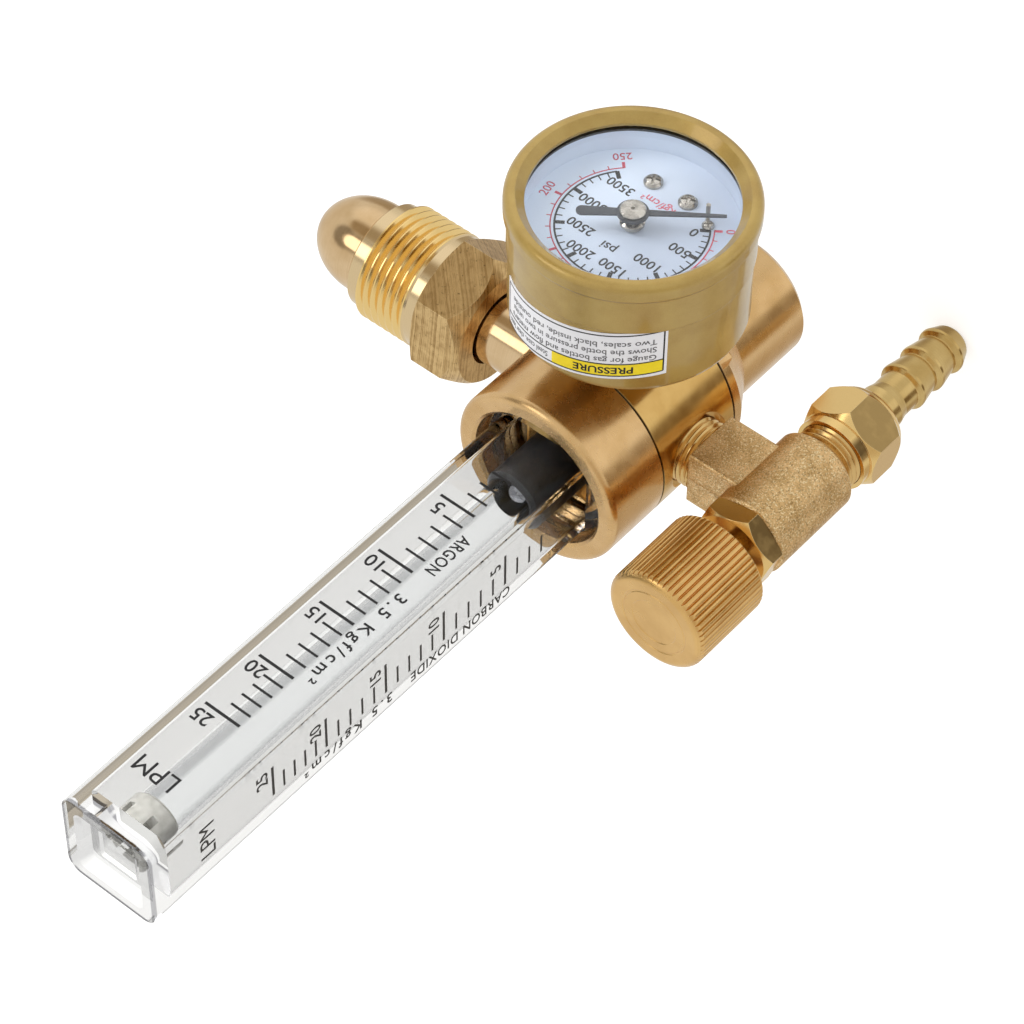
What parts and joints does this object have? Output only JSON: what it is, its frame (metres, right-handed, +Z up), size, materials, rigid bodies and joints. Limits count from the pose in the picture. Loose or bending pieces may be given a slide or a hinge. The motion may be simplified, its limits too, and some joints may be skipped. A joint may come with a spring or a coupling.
{
  "type": "gas regulator",
  "caption": "Flowmeter gas regulator: barrel body with bullet-nosed inlet nut, round pressure gauge, clear square flow tube and an outlet needle valve with a ribbed knob and hose barb.",
  "frame": {"origin": "on the inlet axis, midway along the outside thread of the inlet nut", "axes": "+X out of the inlet towards the gas cylinder, +Z up the flow tube, the gauge faces -Y"},
  "size_m": [0.1213, 0.073, 0.1895],
  "materials": {
    "barrel_brass": "satin turned",
    "lacquered_brass": "satin lacquered",
    "polished_brass": "polished",
    "nut_brass": "machined",
    "cast_brass": "blasted casting",
    "knob_brass": "lacquered, ribbed",
    "pale_brass": "machined",
    "inner_brass": "machined",
    "sintered_bronze": "sintered",
    "spring_steel": "bright",
    "float_steel": "polished",
    "nickel": "nickel plated",
    "clear_plastic": "clear",
    "black_plastic": "matt",
    "rubber": "matt",
    "pointer_grey": "satin",
    "dial_white": "printed",
    "lens": "clear",
    "label": "printed sticker",
    "gold_paint": "gloss"
  },
  "bodies": {
    "body": {"body": "barrel_brass", "collar": "lacquered_brass", "bonnet": "lacquered_brass", "inlet_nipple": "polished_brass", "packing_nut": "nut_brass", "union_nut": "nut_brass", "valve_body": "cast_brass", "hose_barb": "pale_brass", "seat_nozzle": "inner_brass", "gauge_socket": "inner_brass", "bourdon_tube": "inner_brass", "bourdon_tip": "inner_brass", "movement_plates": "inner_brass", "movement_posts": "inner_brass", "dial_pillars": "inner_brass", "inlet_filter": "sintered_bronze", "range_spring": "spring_steel", "poppet_spring": "spring_steel", "hairspring": "spring_steel", "outer_tube": "clear_plastic", "inner_tube": "clear_plastic", "float_stop": "clear_plastic", "tube_seat": "black_plastic", "seat_oring": "rubber", "foot_oring": "rubber", "diaphragm": "rubber", "stem_packing": "rubber", "barb_washer": "rubber", "diaphragm_ring": "nickel", "dial_screws": "nickel", "zero_stop": "nickel", "gauge_dial": "dial_white", "gauge_lens": "lens", "lens_ring": "dial_white", "lens_gasket": "black_plastic", "gauge_label": "label", "gauge_case": "gold_paint", "gauge_bezel": "gold_paint"},
    "inlet_nut": {"inlet_nut": "nut_brass"},
    "float": {"float_ball": "float_steel"},
    "valve_stem": {"valve_stem": "inner_brass"},
    "knob": {"knob": "knob_brass", "knob_screw": "spring_steel"},
    "gauge_pointer": {"pinion": "inner_brass", "pointer": "pointer_grey", "pointer_hub": "nickel"},
    "sector": {"sector_gear": "inner_brass"},
    "link": {"link": "inner_brass"},
    "spring_button": {"spring_button": "inner_brass"},
    "adjusting_screw": {"adjusting_screw": "spring_steel"},
    "diaphragm_plate": {"diaphragm_plate": "inner_brass"},
    "poppet": {"poppet": "inner_brass"}
  },
  "joints": [
    {"name": "inlet_nut_spin", "type": "hinge", "parent": "body", "child": "inlet_nut", "pos_m": [0, 0, 0], "axis": [1, 0, 0], "continuous": true},
    {"name": "float_rise", "type": "slide", "parent": "body", "child": "float", "axis": [0, 0, 1], "range_m": [0, 0.093]},
    {"name": "stem_lift", "type": "slide", "parent": "body", "child": "valve_stem", "axis": [0, 0, 1], "range_m": [0, 0.003]},
    {"name": "knob_turn", "type": "hinge", "parent": "valve_stem", "child": "knob", "pos_m": [-0.08706, 0, 0.027], "axis": [0, 0, 1], "range_deg": [0, 1080]},
    {"name": "pointer_sweep", "type": "hinge", "parent": "body", "child": "gauge_pointer", "pos_m": [-0.0496, -0.045, -0.00108], "axis": [0, 1, 0], "range_deg": [0, 264], "stiffness_Nm_per_rad": 0.000002},
    {"name": "sector_swing", "type": "hinge", "parent": "body", "child": "sector", "pos_m": [-0.0496, -0.037, 0.00892], "axis": [0, 1, 0], "range_deg": [-29.33, 0]},
    {"name": "link_swing", "type": "hinge", "parent": "sector", "child": "link", "pos_m": [-0.04877, -0.037, 0.01201], "axis": [0, 1, 0], "range_deg": [0, 29.33]},
    {"name": "button_rise", "type": "slide", "parent": "body", "child": "spring_button", "axis": [0, 0, 1], "range_m": [0, 0.0025], "deforming": ["range_spring"]},
    {"name": "preset_turn", "type": "hinge", "parent": "spring_button", "child": "adjusting_screw", "pos_m": [-0.0496, 0, -0.034], "axis": [0, 0, 1], "range_deg": [0, 720]},
    {"name": "diaphragm_travel", "type": "slide", "parent": "body", "child": "diaphragm_plate", "axis": [0, 0, 1], "range_m": [0, 0.0006], "deforming": ["diaphragm"]},
    {"name": "poppet_lift", "type": "slide", "parent": "body", "child": "poppet", "axis": [0, 0, 1], "range_m": [0, 0.0006], "deforming": ["poppet_spring"]}
  ],
  "couplings": [
    {"joint": "knob_turn", "follows": "stem_lift", "rad_per_m": 6283.2},
    {"joint": "sector_swing", "follows": "pointer_sweep", "ratio": -0.11111},
    {"joint": "link_swing", "follows": "pointer_sweep", "ratio": 0.11111},
    {"joint": "preset_turn", "follows": "button_rise", "rad_per_m": 5026.5},
    {"joint": "poppet_lift", "follows": "diaphragm_travel", "ratio": 1}
  ]
}
